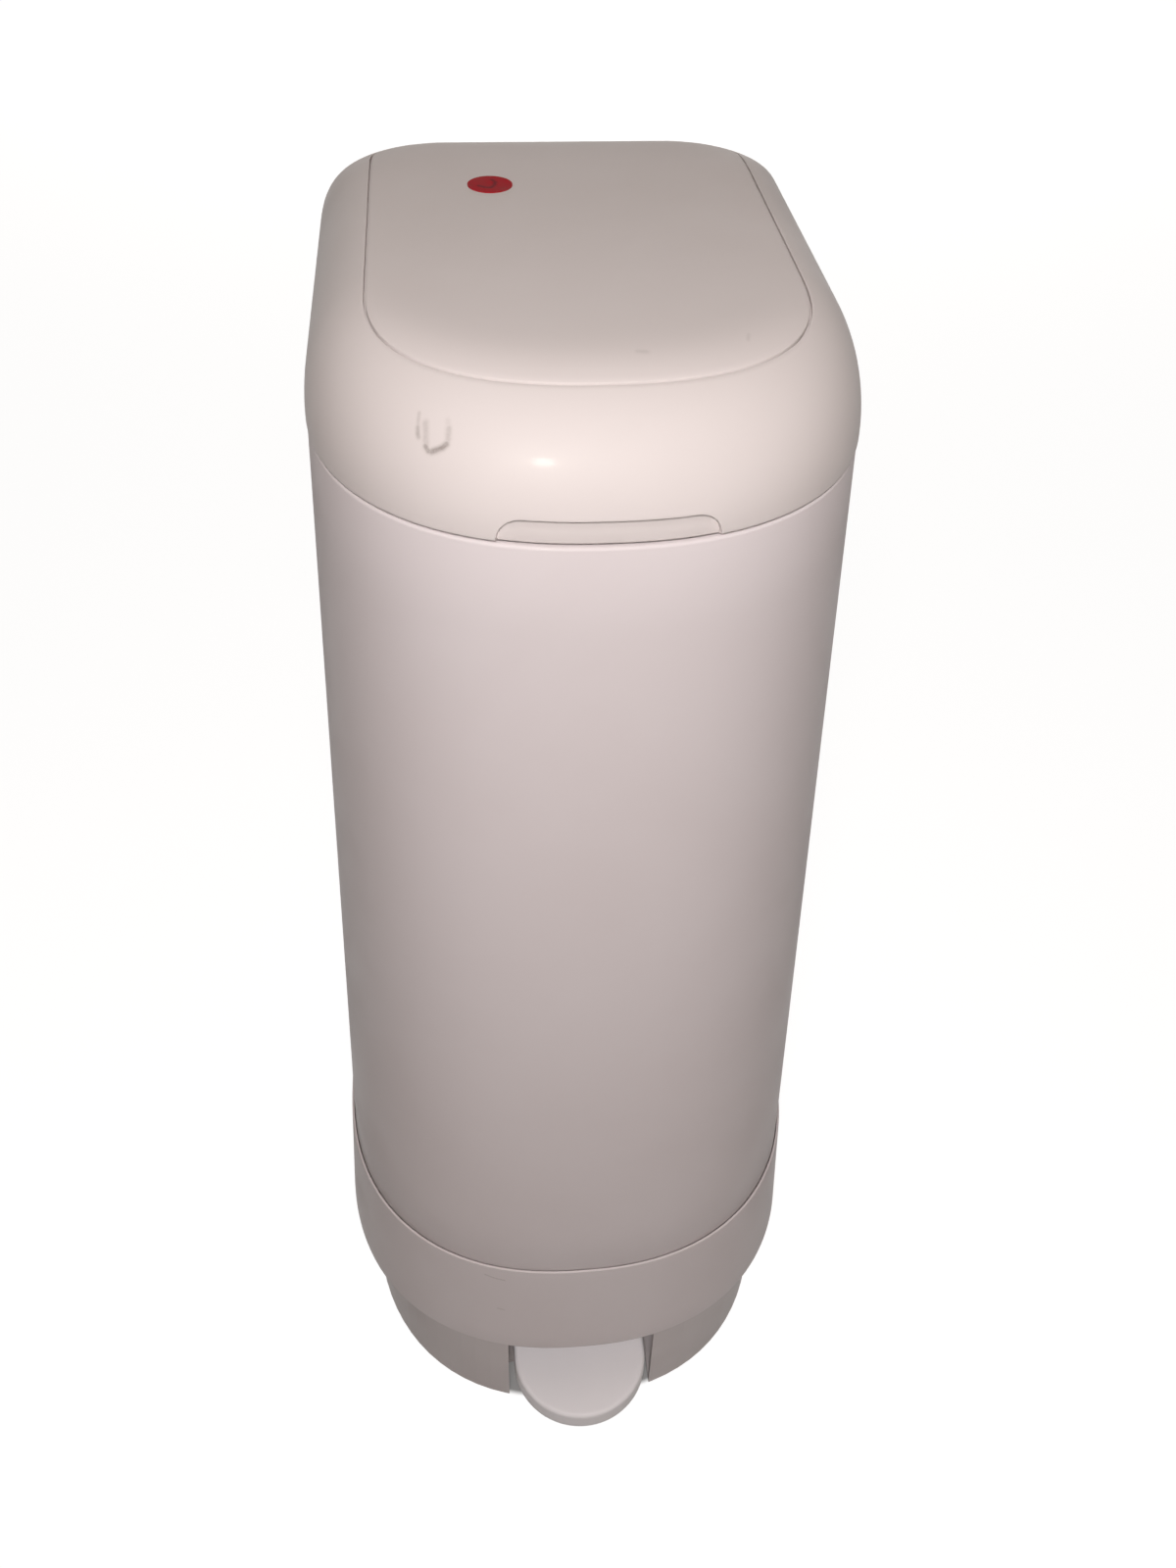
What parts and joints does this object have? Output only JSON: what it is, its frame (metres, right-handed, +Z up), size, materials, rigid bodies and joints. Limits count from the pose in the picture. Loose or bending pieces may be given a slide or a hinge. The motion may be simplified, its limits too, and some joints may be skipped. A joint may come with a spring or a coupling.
{
  "type": "pedal nappy bin",
  "caption": "Tall bow-fronted nappy bin with a domed pedal-opened lid, a tilting front that holds the pail, a film cassette and sprung clamps.",
  "frame": {"origin": "bottom centre of the bounding box, on the floor", "axes": "+Z up, -Y towards the front where the pedal is, +X to the right seen from the front"},
  "size_m": [0.257, 0.334, 0.6233],
  "materials": {
    "white_plastic": "smooth semi-gloss",
    "lid_plastic": "smooth semi-gloss",
    "pedal_plastic": "satin",
    "inner_plastic": "matt",
    "cassette_plastic": "matt",
    "grey_plastic": "matt",
    "rubber": "matt",
    "rubber_grey": "matt",
    "steel": "zinc plated",
    "spring_steel": "bright",
    "film": "pleated film",
    "filter_foam": "open foam",
    "sticker": "printed label"
  },
  "bodies": {
    "base": {"base": "white_plastic", "rubber_feet": "rubber", "base_screws": "steel", "pedal_pin": "steel", "rod_guides": "grey_plastic", "body_housing": "white_plastic", "pivot_pins": "steel", "top_deck": "inner_plastic", "deck_screws": "steel", "cassette_well": "inner_plastic", "clamp_housing": "inner_plastic", "film_cassette": "cassette_plastic", "cassette_core": "cassette_plastic", "cassette_cap": "cassette_plastic", "film_pack": "film", "clamp_pins": "steel", "clamp_spring_left": "spring_steel", "clamp_spring_right": "spring_steel", "button_spring": "spring_steel", "cutter_body": "grey_plastic", "cutter_blade": "spring_steel", "lid_hinge_pin": "steel", "hinge_cover": "white_plastic"},
    "pedal": {"pedal": "pedal_plastic", "pedal_spring": "spring_steel"},
    "lift_rod": {"lift_rod": "steel", "rod_caps": "grey_plastic"},
    "front": {"front_shell": "white_plastic", "inner_pail": "inner_plastic", "pail_screws": "steel"},
    "clamp_left": {"clamp_left": "grey_plastic"},
    "clamp_right": {"clamp_right": "grey_plastic"},
    "release_button": {"release_button": "grey_plastic"},
    "lid": {"lid_shell": "lid_plastic", "lid_panel": "lid_plastic", "lid_liner": "inner_plastic", "lid_seal": "rubber_grey", "carbon_filter": "filter_foam", "filter_cover": "grey_plastic", "lid_screws": "steel", "sticker": "sticker"}
  },
  "joints": [
    {"name": "lid_hinge", "type": "hinge", "parent": "base", "child": "lid", "pos_m": [0, 0.152, 0.586], "axis": [-1, 0, 0], "range_deg": [0, 78]},
    {"name": "pedal_hinge", "type": "hinge", "parent": "base", "child": "pedal", "pos_m": [0, -0.031, 0.031], "axis": [1, 0, 0], "range_deg": [0, 8.45]},
    {"name": "rod_slide", "type": "slide", "parent": "base", "child": "lift_rod", "axis": [0, 0, 1], "range_m": [0, 0.0235]},
    {"name": "front_tilt", "type": "hinge", "parent": "base", "child": "front", "pos_m": [0, -0.023, 0.16], "axis": [1, 0, 0], "range_deg": [0, 24]},
    {"name": "clamp_left_hinge", "type": "hinge", "parent": "base", "child": "clamp_left", "pos_m": [-0.054, 0.009, 0.503], "axis": [0, 1, 0], "range_deg": [0, 60], "stiffness_Nm_per_rad": 0.05, "springref_deg": -28.65},
    {"name": "clamp_right_hinge", "type": "hinge", "parent": "base", "child": "clamp_right", "pos_m": [0.054, 0.009, 0.503], "axis": [0, -1, 0], "range_deg": [0, 60], "stiffness_Nm_per_rad": 0.05, "springref_deg": -28.65},
    {"name": "button_slide", "type": "slide", "parent": "base", "child": "release_button", "axis": [0, 0, -1], "range_m": [0, 0.0055], "stiffness_N_per_m": 300, "springref_m": -0.004, "deforming": ["button_spring"]}
  ],
  "couplings": [
    {"joint": "pedal_hinge", "follows": "lid_hinge", "ratio": 0.10833},
    {"joint": "rod_slide", "follows": "lid_hinge", "m_per_rad": 0.017262}
  ]
}
